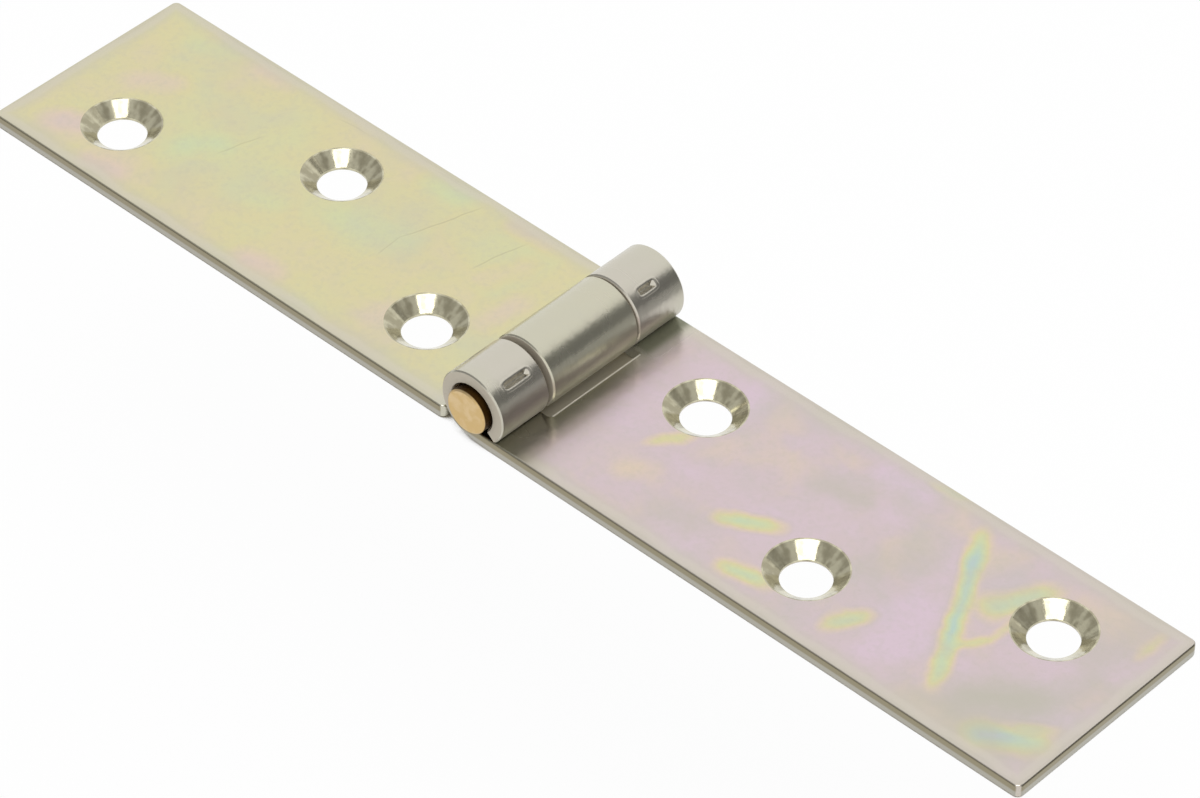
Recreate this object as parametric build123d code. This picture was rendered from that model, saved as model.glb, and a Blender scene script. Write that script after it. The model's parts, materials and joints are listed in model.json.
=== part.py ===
from build123d import *
from math import asin, atan, degrees, sqrt
import os

# Flap hinge lying open and flat: two equal leaves of steel strip with rolled knuckles, and one pin.
# Millimetres. X runs along the leaves, Y along the pin and Z up.
# The origin lies on the leaves' back plane, under the middle of the pin.

# Strip and leaf outline
leaf_width = 30.0
leaf_reach = 80.0          # pin axis to the free end of a leaf
strip = 1.8                # thickness of the steel strip
leaf_corner = 0.8          # corner radius of the leaf outline
edge_round = 0.28          # rounding that the blanking punch leaves along the top edge
back_break = 0.2           # chamfer along the back edge, which is also the rim of the knuckles
sink_break = 0.15          # small chamfer round the countersinks

# Rolled knuckles
pin_diameter = 5.8
pin_clearance = 0.05       # radial, between the pin and the rolled bores
roll_lift = 0.3            # lowest point of the roll's circle above the back plane
lead_in_radius = 14.0      # outside radius of the gentle bend that starts the roll
roll_end_gap = 0.08        # end of the roll above the leaf's top face
outer_knuckle = 7.55       # length of each of the frame leaf's two knuckles
knuckle_play = 1.05        # sum of the two gaps beside the flap leaf's knuckle
flap_shift = 0.3           # how far the flap leaf sits off centre in that play
notch_clearance = 0.1      # notch edge clear of the outside of the other leaf's knuckles
notch_corner = 0.4         # inside corner radius of the notches
bore_mouth = 0.32          # chamfer at the knuckles' bore mouths

# Screw holes, staggered about the middle line of each leaf
hole_diameter = 6.0
countersink_diameter = 9.8
hole_land = 0.3            # straight wall left below the countersink
root_margin = 16.5         # pin axis to the first hole
end_margin = 12.5          # last hole to the free end
hole_stagger = 5.8         # hole centres off the middle line
holes_per_leaf = 3

# Pin, and the punched dents in the frame leaf's knuckles that hold it
pin_stand_out = 1.0        # pin end beyond the leaf edge
pin_chamfer = 0.2
dent_width = 1.1           # at the knuckle's surface
dent_floor = 0.1           # width at the bottom
dent_depth = 0.5
dent_angle = 50.0          # place round the knuckle, degrees up from the leaf's side
dent_inset = 1.5           # dent to the inner end of its knuckle
near_dent_length = 4.0
far_dent_length = 2.8

# Sizes that follow from those above
half_width = leaf_width / 2
hole_radius = hole_diameter / 2
bore_radius = pin_diameter / 2 + pin_clearance
roll_radius = bore_radius + strip
axis_height = roll_radius + roll_lift
notch_edge = roll_radius + notch_clearance
knuckle_start = half_width - outer_knuckle
centre_half = knuckle_start - knuckle_play / 2
hole_pitch = (leaf_reach - root_margin - end_margin) / (holes_per_leaf - 1)

# The lead-in bend and the roll touch from inside, so their centres lie apart by the difference of their radii
lead_offset = lead_in_radius - roll_radius
lead_start = sqrt(2 * lead_offset * roll_lift - roll_lift ** 2)
lead_turn = degrees(asin(lead_start / lead_offset))
roll_end_angle = degrees(asin((strip + roll_end_gap - axis_height) / roll_radius))
roll_turn = 270 - lead_turn - roll_end_angle


def strip_side(depth):
    """One side of the strip in the XZ plane, at a depth inwards from its back: flat, lead-in bend, roll."""
    flat = Line((leaf_reach + strip, depth), (lead_start, depth))
    lead_in = CenterArc((lead_start, lead_in_radius), lead_in_radius - depth, -90, -lead_turn)
    roll = CenterArc((0, axis_height), roll_radius - depth, -90 - lead_turn, -roll_turn)
    return [flat, lead_in, roll]


def rolled_strip():
    """The strip with its roll, larger than the leaf by its own thickness on each side that is trimmed."""
    back = strip_side(0)
    top = strip_side(strip)
    roll_end = Line(back[-1] @ 1, top[-1] @ 1)
    free_end = Line(back[0] @ 0, top[0] @ 0)
    section = make_face(back + top + [roll_end, free_end])
    return extrude(Plane.XZ * section, half_width + strip, both=True)


def leaf_outline(tongues):
    """Plan of a leaf: the plate up to its notch edge, and the tongues that are rolled into knuckles."""
    plate = Rectangle(leaf_reach - notch_edge, leaf_width, align=(Align.MIN, Align.CENTER))
    outline = Pos(notch_edge, 0) * plate
    for low, high in tongues:
        tongue = Rectangle(notch_edge + roll_radius + strip, high - low, align=(Align.MAX, Align.MIN))
        outline += Pos(notch_edge, low) * tongue
    notch_corners = [v for v in outline.vertices() if 0 < v.X < leaf_reach and abs(v.Y) < half_width - back_break]
    outline = fillet(notch_corners, notch_corner)
    outer_corners = [v for v in outline.vertices() if v.X > 0 and abs(v.Y) > half_width - back_break]
    return fillet(outer_corners, leaf_corner)


def outline_edges(face):
    """The edges of a leaf's flat face that were cut, without the seams where the roll starts."""
    return [edge for edge in face.outer_wire().edges() if edge.center().X > lead_start + back_break]


def countersunk_hole():
    """Cutter for one screw hole, overshooting both faces by the strip's thickness."""
    widening = (countersink_diameter / 2 - hole_radius) / (strip - hole_land)
    top_radius = hole_radius + widening * (2 * strip - hole_land)
    wall = [(hole_radius, -strip), (hole_radius, hole_land), (top_radius, 2 * strip)]
    section = Polyline((0, -strip), *wall, (0, 2 * strip), close=True)
    return revolve(Plane.XZ * make_face(section), Axis.Z)


def mouth_cutter(place, inwards):
    """Cutter for a bore mouth at a place along Y: a cone that narrows inwards, overshooting both ways."""
    cone = Cone(bore_radius + 2 * bore_mouth, bore_radius - bore_mouth, 3 * bore_mouth)
    return Pos(0, place + inwards * bore_mouth / 2, axis_height) * Rot(-90 * inwards, 0, 0) * cone


def leaf(tongues):
    """A leaf that reaches along +X: rolled, trimmed to its outline, edges eased, holes countersunk."""
    outline = Pos(0, 0, -strip) * leaf_outline(tongues)
    solid = rolled_strip() & extrude(outline, axis_height + roll_radius + 2 * strip)
    top_face = solid.faces().filter_by(Axis.Z).sort_by(Axis.Z)[-1]
    solid = fillet(outline_edges(top_face), edge_round)
    back_face = solid.faces().filter_by(Axis.Z).sort_by(Axis.Z)[0]
    solid = chamfer(outline_edges(back_face), back_break)
    for low, high in tongues:
        solid -= mouth_cutter(low, 1)
        solid -= mouth_cutter(high, -1)
    for index in range(holes_per_leaf):
        side = 1 if index % 2 == 0 else -1
        place = Pos(root_margin + index * hole_pitch, side * hole_stagger)
        solid -= place * countersunk_hole()
    top_face = solid.faces().filter_by(Axis.Z).sort_by(Axis.Z)[-1]
    return chamfer(top_face.inner_wires().edges(), sink_break)


def dent(length, start, direction):
    """Cutter for a punched dent in a knuckle, running from a start along Y, with walls that taper to its floor."""
    spread = dent_width - dent_floor
    taper = degrees(atan(spread / 2 / dent_depth))
    above = Plane((roll_radius + dent_depth, 0, 0), x_dir=(0, 1, 0), z_dir=(-1, 0, 0))
    punch = extrude(above * Rectangle(length + spread, dent_width + spread), 2 * dent_depth, taper=taper)
    return Pos(0, start + direction * length / 2, axis_height) * Rot(0, -dent_angle, 0) * punch


def frame_leaf():
    """The leaf with the two outer knuckles, which carries the pin."""
    solid = leaf([(-half_width, -knuckle_start), (knuckle_start, half_width)])
    solid -= dent(near_dent_length, -knuckle_start - dent_inset, -1)
    solid -= dent(far_dent_length, knuckle_start + dent_inset, 1)
    return solid


def flap_leaf():
    """The leaf with the centre knuckle, turned half round to reach along -X."""
    solid = leaf([(-centre_half, centre_half)])
    return Pos(0, flap_shift, 0) * Rot(0, 0, 180) * solid


def hinge_pin():
    """Plain round pin with chamfered ends, as long as the leaves are wide and a little over."""
    pin = Cylinder(pin_diameter / 2, leaf_width + 2 * pin_stand_out, rotation=(90, 0, 0))
    pin = chamfer(pin.edges().filter_by(GeomType.CIRCLE), pin_chamfer)
    return Pos(0, 0, axis_height) * pin


pieces = {
    "frame_leaf": frame_leaf(),
    "flap_leaf": flap_leaf(),
    "hinge_pin": hinge_pin(),
}
os.makedirs("parts", exist_ok=True)
for name, solid in pieces.items():
    export_step(solid, f"parts/{name}.step")
    print(name, "volume", round(solid.volume, 1), "valid", solid.is_valid)
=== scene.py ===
"""Dresses the open flap hinge: two plated steel leaves, a brass pin and the lips of the punched dents.

Everything is in metres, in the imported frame: X along the leaves, Y along the pin, Z up, with the origin
on the leaves' back plane under the middle of the pin. Shader patterns are worked out in millimetres.
"""

import json
import logging
import math
from dataclasses import dataclass
from enum import Enum
from typing import Mapping, Sequence, Union

import bpy
import numpy as np
from mathutils import Matrix, Vector


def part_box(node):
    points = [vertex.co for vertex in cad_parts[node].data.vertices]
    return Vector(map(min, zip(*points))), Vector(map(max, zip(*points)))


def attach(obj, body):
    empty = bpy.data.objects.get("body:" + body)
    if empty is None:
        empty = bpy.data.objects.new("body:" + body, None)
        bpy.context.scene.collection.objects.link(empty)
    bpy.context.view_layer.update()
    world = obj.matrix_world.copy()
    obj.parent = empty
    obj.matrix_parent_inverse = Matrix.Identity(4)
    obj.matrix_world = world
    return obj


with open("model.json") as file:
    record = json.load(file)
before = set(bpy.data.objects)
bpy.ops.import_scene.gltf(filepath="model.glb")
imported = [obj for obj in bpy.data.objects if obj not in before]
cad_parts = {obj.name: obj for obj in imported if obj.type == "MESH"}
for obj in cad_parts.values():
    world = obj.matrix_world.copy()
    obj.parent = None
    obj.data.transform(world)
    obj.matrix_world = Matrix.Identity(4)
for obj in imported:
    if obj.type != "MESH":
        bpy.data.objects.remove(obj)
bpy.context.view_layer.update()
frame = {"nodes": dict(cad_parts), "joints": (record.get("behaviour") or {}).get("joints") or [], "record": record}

MM = 0.001
log = logging.getLogger("flap_hinge")

# A span is the start and the end of something, or a size and a reach where its class says so
Colour = tuple[float, float, float, float]
Triple = tuple[float, float, float]
Span = tuple[float, float]
Number = Union["Signal", float]


class Body(Enum):
    """The bodies that new pieces ride on."""

    FRAME = "frame_side"


class Node(Enum):
    """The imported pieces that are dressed."""

    FRAME_LEAF = "frame_leaf"
    FLAP_LEAF = "flap_leaf"
    PIN = "hinge_pin"


class Slot(Enum):
    """The record's material slots that new pieces name."""

    ROSE = "rose_zinc"


def tint(red: int, green: int, blue: int) -> Colour:
    """Turns a display colour of 0 to 255 into a linear colour, by the sRGB curve.

    Args:
        red: display red.
        green: display green.
        blue: display blue.

    Returns:
        Linear red, green, blue and an alpha of 1.
    """
    shares = np.array([red, green, blue]) / 255
    low = shares / 12.92
    high = ((shares + 0.055) / 1.055) ** 2.4
    linear = np.where(shares <= 0.04045, low, high)
    return (float(linear[0]), float(linear[1]), float(linear[2]), 1.0)


class Signal:
    """One node socket, wrapped so that Python expressions on values add Math nodes."""

    def __init__(self, bench: "NodeBench", socket: bpy.types.NodeSocket) -> None:
        """Keeps the socket and the bench that its nodes stand on."""
        self.bench = bench
        self.socket = socket

    def __add__(self, other: Number) -> "Signal":
        """Sum."""
        return self.bench.math("ADD", self, other)

    def __radd__(self, other: float) -> "Signal":
        """Sum, reflected."""
        return self.bench.math("ADD", other, self)

    def __sub__(self, other: Number) -> "Signal":
        """Difference."""
        return self.bench.math("SUBTRACT", self, other)

    def __rsub__(self, other: float) -> "Signal":
        """Difference, reflected."""
        return self.bench.math("SUBTRACT", other, self)

    def __mul__(self, other: Number) -> "Signal":
        """Product."""
        return self.bench.math("MULTIPLY", self, other)

    def __rmul__(self, other: float) -> "Signal":
        """Product, reflected."""
        return self.bench.math("MULTIPLY", other, self)

    def __pow__(self, other: Number) -> "Signal":
        """Power."""
        return self.bench.math("POWER", self, other)

    def __abs__(self) -> "Signal":
        """Size without its sign."""
        return self.bench.math("ABSOLUTE", self)

    def smaller(self, other: Number) -> "Signal":
        """The smaller of two values."""
        return self.bench.math("MINIMUM", self, other)

    def larger(self, other: Number) -> "Signal":
        """The larger of two values."""
        return self.bench.math("MAXIMUM", self, other)

    def rise(self, low: float, high: float) -> "Signal":
        """A smooth step.

        Args:
            low: where the step starts, at 0.
            high: where it ends, at 1; below low, the step falls instead.

        Returns:
            A value from 0 to 1.
        """
        settings = {"interpolation_type": "SMOOTHSTEP"}
        if low < high:
            return self.bench.add("ShaderNodeMapRange", settings, {0: self, 1: low, 2: high})
        return self.bench.add("ShaderNodeMapRange", settings, {0: self, 1: high, 2: low, 3: 1.0, 4: 0.0})


Value = Union[Signal, float, Sequence[float]]


class NodeBench:
    """A material and the nodes on it."""

    def __init__(self, name: str) -> None:
        """Starts an empty node material of that name."""
        self.material = bpy.data.materials.new(name)
        self.material.use_nodes = True
        self.tree = self.material.node_tree
        self.tree.nodes.clear()

    def add(
        self,
        kind: str,
        settings: Mapping[str, object],
        sockets: Mapping[Union[int, str], Value],
        output: Union[int, str] = 0,
    ) -> Signal:
        """Adds one node, sets it and links it.

        Args:
            kind: the node's type.
            settings: its properties; "stops" holds a ramp's positions and colours.
            sockets: its inputs, by number or name, as values or as signals to link.
            output: the output wanted, by number or name.

        Returns:
            The wanted output.
        """
        node = self.tree.nodes.new(kind)
        for name, setting in settings.items():
            if name == "stops":
                self._set_stops(node.color_ramp, setting)
            else:
                setattr(node, name, setting)
        for key, value in sockets.items():
            if isinstance(value, Signal):
                self.tree.links.new(value.socket, node.inputs[key])
            else:
                node.inputs[key].default_value = value
        found = node.outputs[output] if len(node.outputs) else None
        return Signal(self, found)

    @staticmethod
    def _set_stops(ramp: bpy.types.ColorRamp, stops: Sequence[tuple[float, Colour]]) -> None:
        """Gives a colour ramp its stops.

        Args:
            ramp: the ramp, which starts with two elements.
            stops: positions in rising order, with their colours.
        """
        while len(ramp.elements) < len(stops):
            ramp.elements.new(1.0)
        for element, (position, colour) in zip(ramp.elements, stops):
            element.position = position
            element.color = colour

    def math(self, operation: str, *values: Number) -> Signal:
        """One Math node on one or two values."""
        return self.add("ShaderNodeMath", {"operation": operation}, dict(enumerate(values)))

    def mix(self, share: Number, first: Value, second: Value) -> Signal:
        """Mixes two colours.

        Args:
            share: how much of the second colour shows.
            first: the colour at a share of 0.
            second: the colour at a share of 1.

        Returns:
            The mixed colour.
        """
        # Inputs 6 and 7 and output 2 are the node's sockets for colours
        sockets = {0: share, 6: first, 7: second}
        return self.add("ShaderNodeMix", {"data_type": "RGBA"}, sockets, 2)

    def vector(self, operation: str, first: Value, second: Value) -> Signal:
        """One Vector Math node on two vectors."""
        return self.add("ShaderNodeVectorMath", {"operation": operation}, {0: first, 1: second})

    def scaled(self, vector: Signal, scale: Number) -> Signal:
        """A vector times a number."""
        return self.add("ShaderNodeVectorMath", {"operation": "SCALE"}, {0: vector, "Scale": scale})

    def place(self) -> Signal:
        """The point on the piece, in millimetres."""
        return self.scaled(self.add("ShaderNodeTexCoord", {}, {}, "Object"), 1 / MM)

    def parts(self, vector: Signal) -> tuple[Signal, Signal, Signal]:
        """The three parts of a vector."""
        split = self.add("ShaderNodeSeparateXYZ", {}, {0: vector})
        outputs = split.socket.node.outputs
        return (Signal(self, outputs[0]), Signal(self, outputs[1]), Signal(self, outputs[2]))

    def stretch(self, vector: Signal, scale: Triple, shift: Triple = (0, 0, 0)) -> Signal:
        """A vector times a scale, then moved by a shift."""
        sockets = {"Vector": vector, "Scale": scale, "Location": shift}
        return self.add("ShaderNodeMapping", {}, sockets)

    def noise(self, vector: Signal, size: float, detail: float = 2.0, warp: float = 0.0) -> Signal:
        """Soft noise.

        Args:
            vector: the point, in millimetres.
            size: the size of its clouds, in millimetres.
            detail: octaves of finer clouds.
            warp: how much the clouds are pulled about.

        Returns:
            A value around 0.5.
        """
        sockets = {"Vector": vector, "Scale": 1 / size, "Detail": detail, "Distortion": warp}
        return self.add("ShaderNodeTexNoise", {}, sockets)

    def stray(self, vector: Signal, size: float, reach: float) -> Signal:
        """Moves points about by noise, so that outlines drawn on them turn uneven.

        Args:
            vector: the point, in millimetres.
            size: the size of the noise's clouds, in millimetres.
            reach: how far its full range moves a point, in millimetres.

        Returns:
            The moved point.
        """
        sockets = {"Vector": vector, "Scale": 1 / size, "Detail": 2.0}
        cloud = self.add("ShaderNodeTexNoise", {}, sockets, "Color")
        middle = self.vector("SUBTRACT", cloud, (0.5, 0.5, 0.5))
        return self.vector("ADD", vector, self.scaled(middle, reach))

    def bump(self, height: Signal, depth: float, normal: Union[Signal, None] = None) -> Signal:
        """Bends the normal by a height.

        Args:
            height: the height, about 0 to 1.
            depth: what a height of 1 stands for, in metres.
            normal: a normal that is bent already.

        Returns:
            The bent normal.
        """
        sockets: dict[Union[int, str], Value] = {"Height": height, "Distance": depth, "Strength": 1.0}
        if normal is not None:
            sockets["Normal"] = normal
        return self.add("ShaderNodeBump", {}, sockets)

    def metal(
        self,
        colour: Value,
        roughness: Value,
        normal: Signal,
        bare: Value = 1.0,
    ) -> bpy.types.Material:
        """Ends the bench in a bare or plated metal.

        Args:
            colour: what the metal reflects.
            roughness: how far the reflection blurs.
            normal: the bent normal.
            bare: how metallic it is; less where the surface is cut or hollow or takes the notch's painted
                highlight, and so looks matt.

        Returns:
            The finished material.
        """
        sockets = {"Base Color": colour, "Metallic": bare, "Roughness": roughness, "Normal": normal}
        shader = self.add("ShaderNodeBsdfPrincipled", {}, sockets)
        return self.close(shader)

    def close(self, shader: Signal) -> bpy.types.Material:
        """Links a shader to the material's surface and returns the material."""
        self.add("ShaderNodeOutputMaterial", {}, {"Surface": shader})
        return self.material


@dataclass(frozen=True)
class FilmMark:
    """A drop or run mark, where the passivation film is thicker or thinner.

    It is an oval streak on the face, whose ends turn blunter as bluntness grows from 1, an ellipse.
    Lengths are in millimetres and the angle, from X, is in degrees. Lift is the change of the film's
    thickness at the centre; a dull patch or a scratch takes it as the share of its tint there.
    """

    centre: tuple[float, float]
    half_length: float
    half_width: float
    angle: float
    lift: float
    bluntness: float = 2.0

    def strength(self, bench: NodeBench, point: Signal) -> Signal:
        """How strong the mark is at a point.

        Its way out is the root of a sum: the squared share of the half length to the power of the
        bluntness, and the squared share of the half width. The strength falls smoothly over it, from the
        lift to 0 at 1.

        Args:
            bench: where the nodes stand.
            point: the point, in millimetres.

        Returns:
            The strength there.
        """
        sockets = {
            "Vector": point,
            "Location": (self.centre[0], self.centre[1], 0),
            "Rotation": (0, 0, math.radians(self.angle)),
            "Scale": (self.half_length, self.half_width, 1.0),
        }
        local = bench.add("ShaderNodeMapping", {"vector_type": "TEXTURE"}, sockets)
        along, across, _ = bench.parts(local)
        way_out = ((along * along) ** self.bluntness + across * across) ** 0.5
        return way_out.rise(1.0, 0.0) * self.lift


@dataclass(frozen=True)
class LeafZones:
    """Where the regions of a leaf start and end, in millimetres.

    Heights are from the back plane, reaches from the pin along the leaf, and insets from the leaf's
    outline inwards. Along is Y, the frame's side is X and fades are widths. The notch highlight's reach, for
    the painted highlight along the notch's edge, starts at that edge, and the end band at a knuckle's end.
    The root and cleft spans place painted shade, the knuckles' shadow and dark reflection on the leaf next
    to them. The least is the share of the root's shade that is left at the far side.
    """

    face_height: Span = (0.8, 1.2)
    knuckle_reach: Span = (8.0, 5.2)
    knuckle_height: Span = (1.85, 2.1)
    root_reach: Span = (12.0, 5.0)
    root_along: Span = (8.0, -4.0)
    root_least: float = 0.2
    cleft_reach: Span = (6.4, 5.0)
    cleft_along: Span = (6.5, 8.5)
    end_band: Span = (0.06, 0.02)
    # Where the painted highlight along the notch's edge lies
    notch_highlight_reach: Span = (0.4, 0.2)
    notch_highlight_height: Span = (1.3, 1.45)
    notch_highlight_fade: float = 0.2
    cut_inset: Span = (0.12, 0.03)
    cut_height: Span = (1.9, 1.75)
    shear_height: Span = (0.75, 1.05)
    sink_height: Span = (0.02, 0.05)
    sink_fade: float = 0.05
    frame_side: Span = (0.0, 1.0)
    under_height: Span = (4.4, 2.6)
    beside_reach: Span = (9.0, 6.5)
    beside_along: Span = (3.0, 9.0)
    flank_height: Span = (8.0, 5.5)


class LeafSurface:
    """The point on a leaf, in millimetres, and the masks of the leaf's regions, each from 0 to 1."""

    def __init__(self, bench: NodeBench, leaf: "Leaf", zones: LeafZones) -> None:
        """Works out the masks.

        Args:
            bench: where the nodes stand.
            leaf: the leaf, for its outline, holes and knuckles.
            zones: where the regions start and end.
        """
        self.point = bench.place()
        x, y, z = bench.parts(self.point)
        reach = abs(x)
        from_side = leaf.half_width / MM - abs(y - leaf.middle / MM)
        self.inset = from_side.smaller(leaf.reach / MM - reach)
        self.face = z.rise(*zones.face_height)
        self.knuckle = reach.rise(*zones.knuckle_reach)
        self.raised = z.rise(*zones.knuckle_height)
        flat = 1.0 - self.raised
        # Painted shade: the root and the far cleft are where the knuckles' shadow and dark reflection fall on the
        # leaf
        nearness = zones.root_least + (1.0 - zones.root_least) * y.rise(*zones.root_along)
        self.root = reach.rise(*zones.root_reach) * flat * nearness
        self.cleft = reach.rise(*zones.cleft_reach) * flat * y.rise(*zones.cleft_along)
        self.end = self.knuckle_end(leaf, zones, y) * self.raised
        # The band along the notch's edge that takes a painted highlight
        self.notch_highlight = self.notch_edge_highlight(leaf, zones, reach, y) * z.rise(*zones.notch_highlight_height) * flat
        self.cut = self.inset.rise(*zones.cut_inset) * z.rise(*zones.cut_height)
        self.sheared = z.rise(*zones.shear_height)
        self.sink, self.from_centre = self.sinks(bench, leaf, zones, z)
        frame_side = x.rise(*zones.frame_side)
        under = z.rise(*zones.under_height) * frame_side * self.raised
        beside = reach.rise(*zones.beside_reach) * flat * y.rise(*zones.beside_along)
        self.hollow = under.larger(beside)
        self.flank = self.raised * z.rise(*zones.flank_height) * frame_side

    @staticmethod
    def knuckle_end(leaf: "Leaf", zones: LeafZones, y: Signal) -> Signal:
        """Where the knuckles' cut ends are.

        Args:
            leaf: the leaf.
            zones: where the regions start and end.
            y: the place along the pin.

        Returns:
            A mask that is 1 within a few hundredths of a millimetre of an end.
        """
        distances = [abs(y - end / MM) for end in leaf.knuckle_ends]
        nearest = distances[0]
        for distance in distances[1:]:
            nearest = nearest.smaller(distance)
        return nearest.rise(*zones.end_band)

    @staticmethod
    def notch_edge_highlight(leaf: "Leaf", zones: LeafZones, reach: Signal, y: Signal) -> Signal:
        """Where the notch's edge takes a painted highlight.

        Args:
            leaf: the leaf.
            zones: where the regions start and end.
            reach: the way from the pin along the leaf.
            y: the place along the pin.

        Returns:
            A mask that is 1 close behind the edge, within the notch's half length.
        """
        notch_half = leaf.notch_half / MM
        within = abs(y).rise(notch_half, notch_half - zones.notch_highlight_fade)
        return (reach - leaf.notch_edge / MM).rise(*zones.notch_highlight_reach) * within

    def sinks(
        self,
        bench: NodeBench,
        leaf: "Leaf",
        zones: LeafZones,
        z: Signal,
    ) -> tuple[Signal, Signal]:
        """Where the countersinks are.

        Args:
            bench: where the nodes stand.
            leaf: the leaf.
            zones: where the regions start and end.
            z: the height.

        Returns:
            A mask that is 1 in the countersinks, and there the way from the hole's centre on the back.
        """
        radius = leaf.sink_radius / MM
        masks: list[Signal] = []
        ways: list[Signal] = []
        for hole_x, hole_y in leaf.hole_centres():
            away = bench.vector("SUBTRACT", self.point, (hole_x / MM, hole_y / MM, 0))
            flat = bench.vector("MULTIPLY", away, (1, 1, 0))
            distance = bench.add("ShaderNodeVectorMath", {"operation": "LENGTH"}, {0: flat}, "Value")
            inside = distance.rise(radius + zones.sink_fade, radius - zones.sink_fade)
            masks.append(inside)
            ways.append(bench.scaled(away, inside))
        mask = masks[0]
        way = ways[0]
        for other_mask, other_way in zip(masks[1:], ways[1:]):
            mask = mask + other_mask
            way = bench.vector("ADD", way, other_way)
        return mask * z.rise(*zones.sink_height), way


# Besides its own colours, this finish paints shade at the knuckles' root and highlights on the rim and the notch's
# edge
@dataclass(frozen=True)
class PassivatedZinc:
    """Zinc plating under a thin passivation film, whose thickness sets its colour.

    Film thickness runs from 0, lilac, over rose, peach, yellow and green to 1, pale blue. Sizes of noise
    and insets from the outline are in millimetres, the chatter's turn in radians and depths of bumps in
    metres. A stray or fray is the size of a noise and how far it moves outlines, a range is the part of a
    noise that shows, and a share is how much of a tint shows.
    """

    name: str
    film: float
    cloud_reach: float
    cloud_shift: Triple
    grey_share: float
    # How much painted shade darkens the leaf at the knuckles' root
    root_shade_share: float
    marks: tuple[FilmMark, ...]
    dull_marks: tuple[FilmMark, ...] = ()
    scratches: tuple[FilmMark, ...] = ()
    zones: LeafZones = LeafZones()

    border: Colour = tint(201, 196, 180)
    grey: Colour = tint(198, 193, 186)
    dull: Colour = tint(194, 190, 176)
    knuckle: Colour = tint(203, 200, 184)
    # Painted shade of the knuckles on the leaf at their root
    root: Colour = tint(122, 124, 104)
    # Painted highlight of the rounded rim, a pale line just inside the outline
    rim_highlight: Colour = tint(226, 218, 205)
    # Painted highlight along the notch's rounded edge, pale and matt
    notch_highlight: Colour = tint(214, 208, 196)
    knuckle_end: Colour = tint(178, 170, 154)
    sheared: Colour = tint(150, 142, 118)
    torn: Colour = tint(174, 171, 160)
    cutter: Colour = tint(207, 202, 175)
    cutter_dark: Colour = tint(162, 156, 131)
    scratched: Colour = tint(172, 164, 138)

    satin: float = 0.23
    satin_swing: float = 0.12
    knuckle_roughness: float = 0.26
    flank_blur: float = 0.1
    end_roughness: float = 0.5
    notch_highlight_roughness: float = 0.6
    cutter_roughness: float = 0.12
    end_matt: float = 0.8
    hollow_matt: float = 0.3
    sink_matt: float = 0.35

    cloud_stretch: Triple = (1, 1, 6)
    wide_cloud: float = 14.0
    fine_cloud: float = 4.5
    fine_cloud_share: float = 0.55
    mark_stray: Span = (8.0, 1.4)
    mark_fray: Span = (2.0, 0.6)
    dull_stray: Span = (5.0, 4.0)
    scratch_stray: Span = (6.0, 1.2)
    grey_cloud: float = 9.0
    grey_shift: Triple = (31, 7, 3)
    grey_range: Span = (0.45, 0.75)
    speck_size: float = 0.7
    speck_range: Span = (0.42, 0.72)
    speck_share: float = 0.16
    border_fray: Span = (6.0, 1.6)
    border_inset: Span = (3.2, 0.2)
    border_share: float = 0.75
    # Where the painted rim highlight lies, as insets, and how much of it shows
    rim_highlight_start: Span = (0.3, 0.7)
    rim_highlight_end: Span = (1.8, 1.1)
    rim_highlight_share: float = 0.18
    knuckle_share: float = 0.85
    cleft_factor: float = 2.0

    smear_stretch: Triple = (0.35, 1.0, 0.35)
    smear_size: float = 6.0
    wave_size: float = 7.0
    wave_depth: float = 50e-6
    roll_stretch: Triple = (0.6, 1.6, 0.6)
    roll_size: float = 1.4
    roll_depth: float = 70e-6
    draw_stretch: Triple = (0.12, 1.0, 0.12)
    draw_size: float = 0.5
    draw_depth: float = 12e-6
    chatter_turn: float = 0.3
    chatter_stretch: Triple = (1, 1, 2)
    chatter_size: float = 0.8
    chatter_share: float = 0.8
    chatter_range: Span = (0.38, 0.62)
    chatter_bump: float = 0.5

    FILM_COLOURS = (
        (0.0, tint(217, 197, 208)),
        (0.16, tint(212, 195, 197)),
        (0.36, tint(221, 203, 184)),
        (0.52, tint(218, 210, 166)),
        (0.66, tint(211, 214, 171)),
        (0.8, tint(200, 214, 182)),
        (0.92, tint(188, 209, 198)),
        (1.0, tint(188, 203, 209)),
    )

    def dress(self, leaf: "Leaf") -> bpy.types.Material:
        """Makes the material for one leaf.

        Args:
            leaf: the leaf, for its outline, holes and knuckles.

        Returns:
            The material.
        """
        bench = NodeBench(self.name)
        surface = LeafSurface(bench, leaf, self.zones)
        chatter = self.cutter_marks(bench, surface)
        colour = self.film_colour(bench, surface)
        colour = self.stain_and_highlight(bench, surface, colour)
        colour = self.shade_knuckle(bench, surface, colour)
        colour = self.cut_edges(bench, surface, chatter, colour)
        matt = surface.notch_highlight.larger(surface.end * self.end_matt)
        matt = matt.larger(surface.hollow * self.hollow_matt).larger(surface.sink * self.sink_matt)
        roughness = self.roughness(bench, surface)
        normal = self.normal(bench, surface, chatter)
        return bench.metal(colour, roughness, normal, 1.0 - matt)

    def film_colour(self, bench: NodeBench, surface: LeafSurface) -> Signal:
        """The film's colour: a ramp over its thickness, which clouds and marks change.

        Args:
            bench: where the nodes stand.
            surface: the leaf's point and masks.

        Returns:
            The colour.
        """
        moved = bench.stretch(surface.point, self.cloud_stretch, self.cloud_shift)
        wide = bench.noise(moved, self.wide_cloud, detail=1.0, warp=0.6) - 0.5
        fine = bench.noise(moved, self.fine_cloud, warp=0.8) - 0.5
        fine_reach = self.cloud_reach * self.fine_cloud_share
        thickness = self.film + wide * self.cloud_reach + fine * fine_reach
        strayed = bench.stray(bench.stray(surface.point, *self.mark_stray), *self.mark_fray)
        for mark in self.marks:
            thickness = thickness + mark.strength(bench, strayed) * surface.face
        return bench.add("ShaderNodeValToRGB", {"stops": self.FILM_COLOURS}, {0: thickness})

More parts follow.
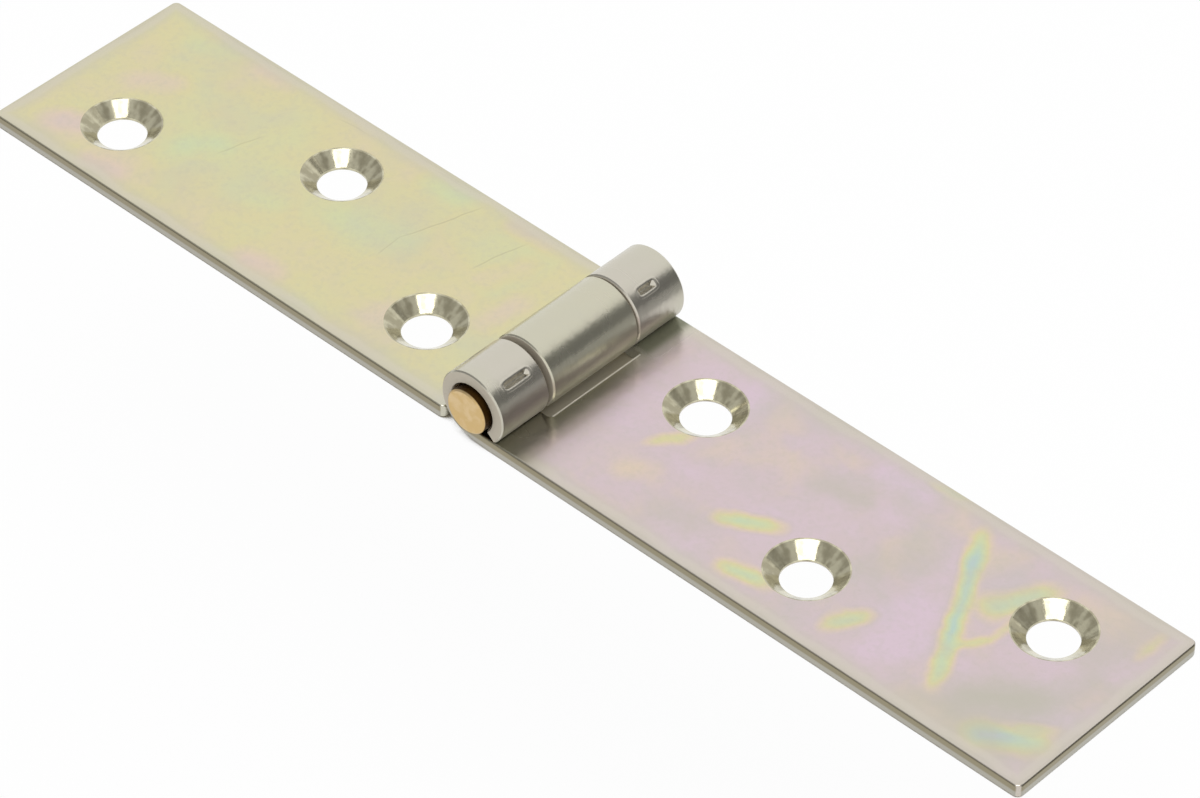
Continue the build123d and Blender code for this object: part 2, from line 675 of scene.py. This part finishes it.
    def stain_and_highlight(self, bench: NodeBench, surface: LeafSurface, colour: Signal) -> Signal:
        """Lays grey clouds, specks, dull patches, scratches and the pale border over the film, and a painted
        highlight on the rounded rim just inside the outline.

        Args:
            bench: where the nodes stand.
            surface: the leaf's point and masks.
            colour: the film's colour.

        Returns:
            The colour with all of them.
        """
        point = surface.point
        moved = bench.stretch(point, (1, 1, 1), self.grey_shift)
        clouds = bench.noise(moved, self.grey_cloud, detail=3.0, warp=0.4)
        colour = bench.mix(clouds.rise(*self.grey_range) * self.grey_share, colour, self.grey)
        specks = bench.noise(point, self.speck_size)
        colour = bench.mix(specks.rise(*self.speck_range) * self.speck_share, colour, self.dull)
        drifted = bench.stray(point, *self.dull_stray)
        for mark in self.dull_marks:
            colour = bench.mix(mark.strength(bench, drifted) * surface.face, colour, self.dull)
        bent = bench.stray(point, *self.scratch_stray)
        for scratch in self.scratches:
            colour = bench.mix(scratch.strength(bench, bent) * surface.face, colour, self.scratched)
        fray_size, fray_reach = self.border_fray
        ragged = surface.inset + (bench.noise(point, fray_size) - 0.5) * fray_reach
        colour = bench.mix(ragged.rise(*self.border_inset) * self.border_share, colour, self.border)
        # Painted highlight of the rounded rim, a pale band just inside the outline
        rim_highlight = ragged.rise(*self.rim_highlight_start) * ragged.rise(*self.rim_highlight_end)
        return bench.mix(rim_highlight * self.rim_highlight_share, colour, self.rim_highlight)

    def shade_knuckle(self, bench: NodeBench, surface: LeafSurface, colour: Signal) -> Signal:
        """Tints the knuckles and their cut ends, paints shade at their root and a highlight on the notch's edge.

        Args:
            bench: where the nodes stand.
            surface: the leaf's point and masks.
            colour: the face's colour.

        Returns:
            The colour with all of them.
        """
        colour = bench.mix(surface.knuckle * self.knuckle_share, colour, self.knuckle)
        # Painted shade at the knuckles' root, stronger in the far cleft
        colour = bench.mix(surface.root * self.root_shade_share, colour, self.root)
        colour = bench.mix(surface.cleft * (self.root_shade_share * self.cleft_factor), colour, self.root)
        # Painted highlight along the notch's rounded edge
        colour = bench.mix(surface.notch_highlight, colour, self.notch_highlight)
        return bench.mix(surface.end, colour, self.knuckle_end)

    def cut_edges(
        self,
        bench: NodeBench,
        surface: LeafSurface,
        chatter: Signal,
        colour: Signal,
    ) -> Signal:
        """Bares the blanked edges, sheared above and torn below, and the turned countersinks.

        Args:
            bench: where the nodes stand.
            surface: the leaf's point and masks.
            chatter: the cutter's marks.
            colour: the plated colour.

        Returns:
            The colour with both.
        """
        cut = bench.mix(surface.sheared, self.torn, self.sheared)
        colour = bench.mix(surface.cut, colour, cut)
        machined = bench.mix(chatter, self.cutter_dark, self.cutter)
        return bench.mix(surface.sink, colour, machined)

    def cutter_marks(self, bench: NodeBench, surface: LeafSurface) -> Signal:
        """Chatter of the countersinks' cutter.

        It is mostly noise on the direction from the hole's centre, so that it runs down the cone, and for
        the rest fine noise on the wall.

        Args:
            bench: where the nodes stand.
            surface: the leaf's point and masks.

        Returns:
            A value from 0, dark, to 1.
        """
        direction = bench.add("ShaderNodeVectorMath", {"operation": "NORMALIZE"}, {0: surface.from_centre})
        coarse = bench.noise(direction, self.chatter_turn)
        wall = bench.stretch(surface.from_centre, self.chatter_stretch)
        fine = bench.noise(wall, self.chatter_size, detail=3.0)
        mixed = coarse * self.chatter_share + fine * (1.0 - self.chatter_share)
        return mixed.rise(*self.chatter_range)

    def roughness(self, bench: NodeBench, surface: LeafSurface) -> Signal:
        """The plating's roughness: smeared satin, changed on knuckles, cut ends, notch edge and countersinks.

        Args:
            bench: where the nodes stand.
            surface: the leaf's point and masks.

        Returns:
            The roughness.
        """
        smear = bench.noise(bench.stretch(surface.point, self.smear_stretch), self.smear_size, detail=3.0)
        roughness = self.satin + (smear - 0.5) * self.satin_swing
        roughness = roughness + surface.knuckle * (self.knuckle_roughness - self.satin)
        roughness = roughness + surface.flank * self.flank_blur
        roughness = roughness + surface.end * (self.end_roughness - self.knuckle_roughness)
        roughness = roughness + surface.notch_highlight * (self.notch_highlight_roughness - self.knuckle_roughness)
        return roughness + surface.sink * (self.cutter_roughness - self.satin)

    def normal(self, bench: NodeBench, surface: LeafSurface, chatter: Signal) -> Signal:
        """The bent normal: slow waves, marks of rolling on the knuckles, chatter in the countersinks.

        Args:
            bench: where the nodes stand.
            surface: the leaf's point and masks.
            chatter: the cutter's marks.

        Returns:
            The normal.
        """
        waves = bench.noise(surface.point, self.wave_size, detail=1.0)
        rolled = bench.noise(bench.stretch(surface.point, self.roll_stretch), self.roll_size, detail=3.0)
        drawn = bench.noise(bench.stretch(surface.point, self.draw_stretch), self.draw_size)
        normal = bench.bump(waves, self.wave_depth)
        normal = bench.bump(rolled * surface.knuckle, self.roll_depth, normal)
        lines = drawn * surface.knuckle + chatter * surface.sink * self.chatter_bump
        return bench.bump(lines, self.draw_depth, normal)


@dataclass(frozen=True)
class DrawnBrass:
    """Plain drawn brass: a sheared, paler end and a side darkened by painted shade.

    Sizes are in millimetres and the bumps' depth is in metres.
    """

    name: str = "drawn_brass"
    end: Colour = tint(214, 184, 128)
    pale_end: Colour = tint(226, 200, 154)
    # Painted shade: the pin's side is only seen in the bore's shadow, so it is painted dark brown
    side: Colour = tint(72, 50, 22)
    satin: float = 0.42
    satin_swing: float = 0.2
    end_band: Span = (0.25, 0.12)
    mottle_size: float = 1.6
    mottle_range: Span = (0.4, 0.7)
    shear_stretch: Triple = (1.0, 1.0, 0.15)
    shear_size: float = 0.3
    shear_depth: float = 6e-6

    def dress(self, pin: "HingePin") -> bpy.types.Material:
        """Makes the pin's material.

        Args:
            pin: the pin, for its length.

        Returns:
            The material.
        """
        bench = NodeBench(self.name)
        point = bench.place()
        _, y, _ = bench.parts(point)
        mottle = bench.noise(point, self.mottle_size, detail=3.0, warp=0.5)
        face = bench.mix(mottle.rise(*self.mottle_range), self.end, self.pale_end)
        half_length = pin.half_length / MM
        on_end = abs(y).rise(half_length - self.end_band[0], half_length - self.end_band[1])
        # The side's dark brown is painted shade; the end keeps its own mottled brass
        colour = bench.mix(on_end, self.side, face)
        shear = bench.noise(bench.stretch(point, self.shear_stretch), self.shear_size, detail=3.0)
        normal = bench.bump(shear, self.shear_depth)
        return bench.metal(colour, self.satin + (mottle - 0.5) * self.satin_swing, normal)


def mesh_from_grid(name: str, points: np.ndarray, closed_rows: bool = False) -> bpy.types.Object:
    """Makes a mesh of quads from a grid of points.

    Each quad joins a point with its neighbours in the next row and column. Where the rows are closed, the
    last one is also joined to the first.

    Args:
        name: the object's name.
        points: array of rows, columns and 3, in metres.
        closed_rows: whether the last row meets the first.

    Returns:
        The linked object, at the origin.
    """
    rows, columns = points.shape[:2]
    index = np.arange(rows * columns).reshape(rows, columns)
    next_row = np.roll(index, -1, axis=0)
    next_column = np.roll(index, -1, axis=1)
    across = np.roll(next_row, -1, axis=1)
    quads = np.stack([index, next_column, across, next_row], axis=-1)
    joined_rows = rows if closed_rows else rows - 1
    quads = quads[:joined_rows, : columns - 1].reshape(-1, 4)
    mesh = bpy.data.meshes.new(name)
    mesh.vertices.add(rows * columns)
    mesh.vertices.foreach_set("co", points.reshape(-1).astype(np.float32))
    mesh.loops.add(quads.size)
    mesh.loops.foreach_set("vertex_index", quads.reshape(-1).astype(np.int32))
    mesh.polygons.add(len(quads))
    mesh.polygons.foreach_set("loop_start", np.arange(0, quads.size, 4, dtype=np.int32))
    mesh.polygons.foreach_set("use_smooth", np.ones(len(quads), dtype=bool))
    mesh.update(calc_edges=True)
    piece = bpy.data.objects.new(name, mesh)
    bpy.context.scene.collection.objects.link(piece)
    return piece


def wear(piece: bpy.types.Object, material: bpy.types.Material) -> None:
    """Gives a piece one material in place of those it has."""
    piece.data.materials.clear()
    piece.data.materials.append(material)


@dataclass
class Leaf:
    """One leaf of the hinge, with the sizes that its finish follows."""

    node: Node
    finish: PassivatedZinc
    screws: tuple[str, str]
    knuckle_ends: tuple[float, ...]
    notch_half: float = 0.0
    notch_edge: float = 4.85 * MM
    sink_radius: float = 4.95 * MM

    def __post_init__(self) -> None:
        """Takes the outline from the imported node."""
        low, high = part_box(self.node.value)
        self.reach = max(abs(low.x), abs(high.x))
        self.half_width = (high.y - low.y) / 2
        self.middle = (high.y + low.y) / 2

    def hole_centres(self) -> list[tuple[float, float]]:
        """Hole centres on the face, in metres.

        Returns:
            X and Y of each hole: both of the bolt pattern, then the middle one.
        """
        mounts = {mount["name"]: mount for mount in frame["record"]["mounts"]}
        pair = mounts[self.screws[0]]
        middle = mounts[self.screws[1]]
        half_pitch = pair["dims"]["spacing_x_mm"] * MM / 2
        x, y = pair["pos_m"][:2]
        return [(x - half_pitch, y), (x + half_pitch, y), tuple(middle["pos_m"][:2])]

    def build(self) -> bpy.types.Material:
        """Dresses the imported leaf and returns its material."""
        material = self.finish.dress(self)
        wear(frame["nodes"][self.node.value], material)
        log.info("%s: %s, reach %.1f mm", self.node.value, self.finish.name, self.reach / MM)
        return material


@dataclass
class DentLip:
    """Metal pushed up round one of the punched dents in the frame leaf's knuckles.

    Lengths are in metres and the angle, up from the leaf's side, is in degrees.
    """

    name: str
    start: float
    end: float
    width: float = 1.1 * MM
    angle: float = 50.0
    roll_radius: float = 4.75 * MM
    lip_width: float = 0.45 * MM
    lip_height: float = 0.04 * MM
    squareness: float = 0.45
    inner_share: float = 0.2
    sunk_share: float = 0.15
    line_steps: int = 96
    ridge_steps: int = 9

    def build(self, material: bpy.types.Material) -> None:
        """Makes the lip as a low ridge on the knuckle, along a rounded rectangle round the dent.

        The ridge's line takes the cosine and the sine of a turn to the power of squareness, keeping
        their signs, times the dent's half length along the pin and half width round the knuckle. Across
        the ridge a share from 0 to 1, less the inner share, times the lip's width moves the line outwards.
        The sine of that share of a half turn, less the sunk share, times the lip's height lifts it off
        the knuckle.

        Args:
            material: the leaf's own finish.
        """
        axis_height = frame["joints"][0]["pos_m"][2]
        turn = np.linspace(0, 2 * np.pi, self.line_steps, endpoint=False)
        across = np.linspace(0, 1, self.ridge_steps)
        turn, across = np.meshgrid(turn, across, indexing="ij")
        along_line = np.sign(np.cos(turn)) * np.abs(np.cos(turn)) ** self.squareness
        round_line = np.sign(np.sin(turn)) * np.abs(np.sin(turn)) ** self.squareness
        outwards = self.lip_width * (across - self.inner_share)
        y = (self.start + self.end) / 2 + along_line * (abs(self.end - self.start) / 2 + outwards)
        angle = math.radians(self.angle) + round_line * (self.width / 2 + outwards) / self.roll_radius
        lift = self.lip_height * (np.sin(np.pi * across) - self.sunk_share)
        radius = self.roll_radius + lift
        points = np.stack([radius * np.cos(angle), y, axis_height + radius * np.sin(angle)], axis=-1)
        lip = mesh_from_grid(self.name, points, closed_rows=True)
        wear(lip, material)
        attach(lip, Body.FRAME.value)
        log.info("%s: %.1f mm long", self.name, abs(self.end - self.start) / MM)


@dataclass
class HingePin:
    """The pin, with the length that its finish follows."""

    finish: DrawnBrass = DrawnBrass()

    def __post_init__(self) -> None:
        """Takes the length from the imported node."""
        low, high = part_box(Node.PIN.value)
        self.half_length = (high.y - low.y) / 2

    def build(self) -> None:
        """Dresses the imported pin."""
        wear(frame["nodes"][Node.PIN.value], self.finish.dress(self))
        log.info("%s: %s, half length %.1f mm", Node.PIN.value, self.finish.name, self.half_length / MM)


@dataclass
class Camera:
    """The camera that was fitted to the photo.

    Angles are in degrees, the azimuth from -Y towards +X; distances are in metres and the sensor is in
    millimetres.
    """

    azimuth: float = 42.894
    elevation: float = 42.514
    roll: float = 0.571
    distance: float = 0.625433
    right_shift: float = 4.071 * MM
    up_shift: float = -2.597 * MM
    focal_pixels: float = 5500.0
    image_width: float = 1200.0
    sensor: float = 36.0
    clip: Span = (0.01, 20.0)

    def build(self) -> None:
        """Sets up the scene's camera.

        It stands back from the origin along its azimuth and elevation, is moved sideways and up in its
        own picture plane, and turned by its roll.
        """
        turn = math.radians(self.azimuth)
        rise = math.radians(self.elevation)
        lean = math.radians(self.roll)
        flat = math.cos(rise)
        back = Vector((math.sin(turn) * flat, -math.cos(turn) * flat, math.sin(rise)))
        level = Vector((math.cos(turn), math.sin(turn), 0))
        upright = back.cross(level)
        right = math.cos(lean) * level + math.sin(lean) * upright
        up = math.cos(lean) * upright - math.sin(lean) * level
        lens = bpy.data.cameras.new("camera")
        lens.sensor_width = self.sensor
        lens.lens = self.focal_pixels * self.sensor / self.image_width
        lens.clip_start, lens.clip_end = self.clip
        stand = bpy.data.objects.new("camera", lens)
        turned = Matrix((right, up, back)).transposed().to_4x4()
        place = back * self.distance + right * self.right_shift + up * self.up_shift
        stand.matrix_world = Matrix.Translation(place) @ turned
        bpy.context.scene.collection.objects.link(stand)
        bpy.context.scene.camera = stand
        log.info("camera: lens %.0f mm", lens.lens)


@dataclass(frozen=True)
class SkyCard:
    """A card that the metal mirrors: a patch of a sphere round the hinge, angles in degrees.

    Azimuth 0 lies towards +X and 90 towards +Y.
    """

    name: str
    azimuth: Span
    elevation: Span
    glow: float
    lights_floor: bool = False
    radius: float = 0.9
    turn_steps: int = 33
    rise_steps: int = 17

    def build(self) -> None:
        """Makes the card: radius times the unit vector of each azimuth and elevation on a grid.

        Only reflections see it, and matt surfaces too where it lights the floor.
        """
        turn = np.radians(np.linspace(*self.azimuth, self.turn_steps))
        rise = np.radians(np.linspace(*self.elevation, self.rise_steps))
        rise, turn = np.meshgrid(rise, turn, indexing="ij")
        unit = np.stack([np.cos(rise) * np.cos(turn), np.cos(rise) * np.sin(turn), np.sin(rise)], axis=-1)
        card = mesh_from_grid(self.name, unit * self.radius)
        bench = NodeBench(self.name)
        glow = bench.add("ShaderNodeEmission", {}, {"Color": (1, 1, 1, 1), "Strength": self.glow})
        wear(card, bench.close(glow))
        card.visible_camera = False
        card.visible_shadow = False
        card.visible_diffuse = self.lights_floor


@dataclass
class Studio:
    """White floor and surroundings, a sheet that takes the contact shade, a soft light and dark cards.

    The shade's tone and fade are spans of openness, which is 1 where nothing closes the sheet in.
    """

    floor_drop: float = 2.0 * MM
    floor_half: float = 4.0
    floor_white: float = 0.84
    floor_glow_share: float = 0.9
    shade_half: tuple[float, float] = (0.1, 0.04)
    shade_drop: float = 0.03 * MM
    shade_reach: float = 12.0 * MM
    shade_edge: Colour = tint(156, 149, 132)
    shade_deep: Colour = tint(178, 169, 147)
    shade_tone: Span = (0.05, 0.25)
    shade_fade: Span = (0.42, 0.26)
    shade_samples: int = 16
    cards: tuple[SkyCard, ...] = (
        SkyCard("soft_light", (279, 351), (48, 74), 4.0, lights_floor=True),
        SkyCard("right_card", (-8, 64), (9, 41), 0.18),
        SkyCard("right_low_card", (-8, 88), (-4, 9), 0.42),
        SkyCard("right_foot_card", (-8, 88), (-14, -2), 0.42, radius=0.25),
        SkyCard("right_top_card", (-9, 42), (41, 66), 0.34),
        SkyCard("left_card", (182, 278), (-4, 62), 0.38),
        SkyCard("left_low_card", (164, 182), (-4, 30), 0.4),
    )

    def build(self) -> None:
        """Sets up the surroundings, the floor, the contact shade and the cards."""
        scene = bpy.context.scene
        scene.view_settings.view_transform = "Standard"
        world = bpy.data.worlds.new("white_surroundings")
        world.use_nodes = True
        world.node_tree.nodes["Background"].inputs["Color"].default_value = (1, 1, 1, 1)
        world.node_tree.nodes["Background"].inputs["Strength"].default_value = 1.0
        scene.world = world
        self.build_floor()
        self.build_shade()
        for card in self.cards:
            card.build()
        log.info("studio: %d cards", len(self.cards))

    def build_floor(self) -> None:
        """Makes the floor, below the flap where that hangs straight down.

        Its white is mostly its own light, and for the rest a matt white that takes the hinge's shadow.
        """
        axis_height = frame["joints"][0]["pos_m"][2]
        low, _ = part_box(Node.FLAP_LEAF.value)
        height = axis_height + low.x - self.floor_drop
        floor = self.level_sheet("floor", (self.floor_half, self.floor_half), height)
        bench = NodeBench("floor_white")
        white = (self.floor_white, self.floor_white, self.floor_white, 1)
        matt = bench.add("ShaderNodeBsdfDiffuse", {}, {"Color": white})
        glow = bench.add("ShaderNodeEmission", {}, {"Color": (1, 1, 1, 1), "Strength": 1.0})
        seen = bench.add("ShaderNodeLightPath", {}, {}, "Is Camera Ray")
        mirrored = Signal(bench, seen.socket.node.outputs["Is Glossy Ray"])
        passed = Signal(bench, seen.socket.node.outputs["Is Transmission Ray"])
        share = seen.larger(mirrored).larger(passed) * self.floor_glow_share
        wear(floor, bench.close(bench.add("ShaderNodeMixShader", {}, {0: share, 1: matt, 2: glow})))

    def build_shade(self) -> None:
        """Makes a clear sheet under the leaves, which turns dark where the hinge closes it in."""
        shade = self.level_sheet("contact_shade", self.shade_half, -self.shade_drop)
        bench = NodeBench("contact_shade")
        settings = {"samples": self.shade_samples}
        openness = bench.add("ShaderNodeAmbientOcclusion", settings, {"Distance": self.shade_reach}, "AO")
        clear = bench.add("ShaderNodeBsdfTransparent", {}, {})
        tone = bench.mix(openness.rise(*self.shade_tone), self.shade_deep, self.shade_edge)
        dark = bench.add("ShaderNodeBsdfDiffuse", {}, {"Color": tone})
        share = openness.rise(*self.shade_fade)
        wear(shade, bench.close(bench.add("ShaderNodeMixShader", {}, {0: share, 1: clear, 2: dark})))
        shade.visible_shadow = False
        shade.visible_diffuse = False

    @staticmethod
    def level_sheet(name: str, half: tuple[float, float], height: float) -> bpy.types.Object:
        """Makes a level sheet: the four corners of a rectangle round the Z axis, at one height.

        Args:
            name: the object's name.
            half: half its size along X and Y.
            height: its height.

        Returns:
            The sheet, facing up.
        """
        ends = np.array([-1.0, 1.0])
        y, x = np.meshgrid(ends * half[1], ends * half[0], indexing="ij")
        points = np.stack([x, y, np.full_like(x, height)], axis=-1)
        return mesh_from_grid(name, points)


# Marks give their centre, half length, half width, angle and lift, and some a bluntness
ROSE_MARKS = (
    FilmMark((57.9, 1.1), 14.2, 1.9, -62.4, 0.62, 4.0),
    FilmMark((57.9, 1.1), 14.2, 3.0, -62.4, 0.12, 4.0),
    FilmMark((62.6, -1.6), 3.2, 1.2, 58.7, 0.36),
    FilmMark((63.8, 2.2), 2.4, 1.2, 84.0, 0.3),
    FilmMark((61.8, 6.4), 6.0, 3.3, 66.0, 0.62),
    FilmMark((32.5, -4.7), 5.2, 2.0, 29.0, 0.66),
    FilmMark((37.7, -11.3), 4.6, 2.1, 10.0, 0.54),
    FilmMark((50.5, -8.5), 4.4, 2.2, 56.0, 0.56),
    FilmMark((74.6, -10.2), 6.2, 3.6, 27.0, 0.78),
    FilmMark((75.8, -6.7), 3.6, 1.5, 30.0, 0.3),
    FilmMark((76.9, 10.7), 3.8, 1.3, 90.0, 0.26),
    FilmMark((17.1, -0.8), 3.8, 1.5, 57.0, 0.42),
    FilmMark((45.2, 14.2), 3.4, 1.2, 10.0, 0.4),
    FilmMark((40.9, 12.0), 5.4, 3.2, 10.0, -0.16),
    FilmMark((54.9, -2.2), 6.4, 4.2, 60.0, -0.14),
    FilmMark((57.0, -8.4), 5.4, 3.6, 60.0, -0.16),
    FilmMark((34.0, 11.0), 4.4, 2.8, 20.0, 0.14),
    FilmMark((29.6, 8.6), 5.0, 2.8, 20.0, -0.1),
    FilmMark((45.2, 8.5), 6.0, 4.0, 60.0, -0.12),
    FilmMark((56.6, 10.2), 5.4, 4.0, 60.0, 0.22),
    FilmMark((77.2, 0.8), 5.0, 3.0, 80.0, 0.14),
    FilmMark((20.4, -3.6), 5.4, 4.0, 40.0, -0.04),
    FilmMark((17.9, -7.0), 4.0, 3.0, 40.0, 0.18),
    FilmMark((69.0, 11.4), 13.0, 5.0, 0.0, 0.2),
    FilmMark((70.0, -12.6), 12.0, 3.4, 0.0, 0.16),
)

ROSE_DULL_MARKS = (
    FilmMark((70.0, -6.6), 8.0, 6.0, 44.0, 0.9),
    FilmMark((36.8, 6.4), 5.4, 3.6, 20.0, 0.55),
    FilmMark((48.1, 2.2), 6.4, 4.2, 60.0, 0.35),
    FilmMark((26.0, -9.5), 6.4, 3.8, 20.0, 0.35),
    FilmMark((74.5, 8.6), 8.0, 4.5, 90.0, 0.45),
    FilmMark((74.8, -0.6), 5.4, 3.8, 60.0, 0.45),
    FilmMark((69.0, -12.0), 12.0, 3.6, 0.0, 0.6),
)

YELLOW_MARKS = (
    FilmMark((-58.0, -1.7), 5.4, 3.4, 45.0, 0.12),
    FilmMark((-46.5, -4.1), 5.4, 3.2, 20.0, 0.1),
    FilmMark((-32.0, 1.6), 8.6, 4.8, 20.0, 0.09),
    FilmMark((-31.1, 12.6), 4.9, 2.8, 10.0, 0.14),
    FilmMark((-70.1, 12.1), 4.9, 3.2, 30.0, 0.1),
    FilmMark((-70.7, 2.5), 4.9, 3.0, 40.0, -0.14),
    FilmMark((-71.5, -9.0), 5.4, 3.4, 30.0, -0.18),
    FilmMark((-63.7, -12.4), 4.9, 2.8, 10.0, -0.17),
    FilmMark((-37.5, -12.1), 5.4, 3.0, 10.0, -0.16),
    FilmMark((-60.8, 13.1), 4.9, 2.6, 0.0, -0.12),
    FilmMark((-18.3, 13.6), 4.9, 2.8, 0.0, -0.16),
    FilmMark((-15.4, 7.1), 4.9, 3.0, 70.0, -0.12),
    FilmMark((-11.4, 1.2), 5.4, 3.2, 80.0, -0.14),
    FilmMark((-21.1, -7.9), 4.9, 3.0, 60.0, -0.1),
    FilmMark((-66.5, -10.4), 12.0, 4.6, 4.0, -0.14),
)

YELLOW_SCRATCHES = (
    FilmMark((-27.3, 8.1), 6.8, 0.17, 72.0, 0.4),
    FilmMark((-18.3, 8.5), 4.6, 0.17, 77.0, 0.36),
    FilmMark((-54.4, 1.3), 3.8, 0.2, 77.0, 0.24),
    FilmMark((-28.9, 0.9), 2.4, 0.17, 95.0, 0.24),
    FilmMark((-32.1, 14.4), 2.8, 0.17, 3.0, 0.32),
    FilmMark((-47.2, 13.3), 2.8, 0.15, 3.0, 0.24),
)


def main() -> None:
    """Builds the hinge's dress, the studio and the camera, in that order."""
    logging.basicConfig(level=logging.INFO, format="%(name)s: %(message)s")
    rose = PassivatedZinc(
        name="rose_film",
        film=0.13,
        cloud_reach=0.46,
        cloud_shift=(0, 0, 0),
        grey_share=0.5,
        root_shade_share=0.45,
        marks=ROSE_MARKS,
        dull_marks=ROSE_DULL_MARKS,
    )
    yellow = PassivatedZinc(
        name="yellow_film",
        film=0.54,
        cloud_reach=0.26,
        cloud_shift=(40, 90, 0),
        grey_share=0.25,
        root_shade_share=0.0,
        marks=YELLOW_MARKS,
        scratches=YELLOW_SCRATCHES,
    )
    frame_leaf = Leaf(
        node=Node.FRAME_LEAF,
        finish=rose,
        screws=("frame_screws", "frame_middle_screw"),
        knuckle_ends=(-15.0 * MM, -7.45 * MM, 7.45 * MM, 15.0 * MM),
        notch_half=7.3 * MM,
    )
    flap_leaf = Leaf(
        node=Node.FLAP_LEAF,
        finish=yellow,
        screws=("flap_screws", "flap_middle_screw"),
        knuckle_ends=(-6.625 * MM, 7.225 * MM),
    )
    rose_plating = frame_leaf.build()
    flap_leaf.build()
    DentLip("near_dent_lip", start=-8.95 * MM, end=-12.95 * MM).build(rose_plating)
    DentLip("far_dent_lip", start=8.95 * MM, end=11.75 * MM).build(rose_plating)
    HingePin().build()
    Studio().build()
    Camera().build()


if __name__ == "__main__":
    main()
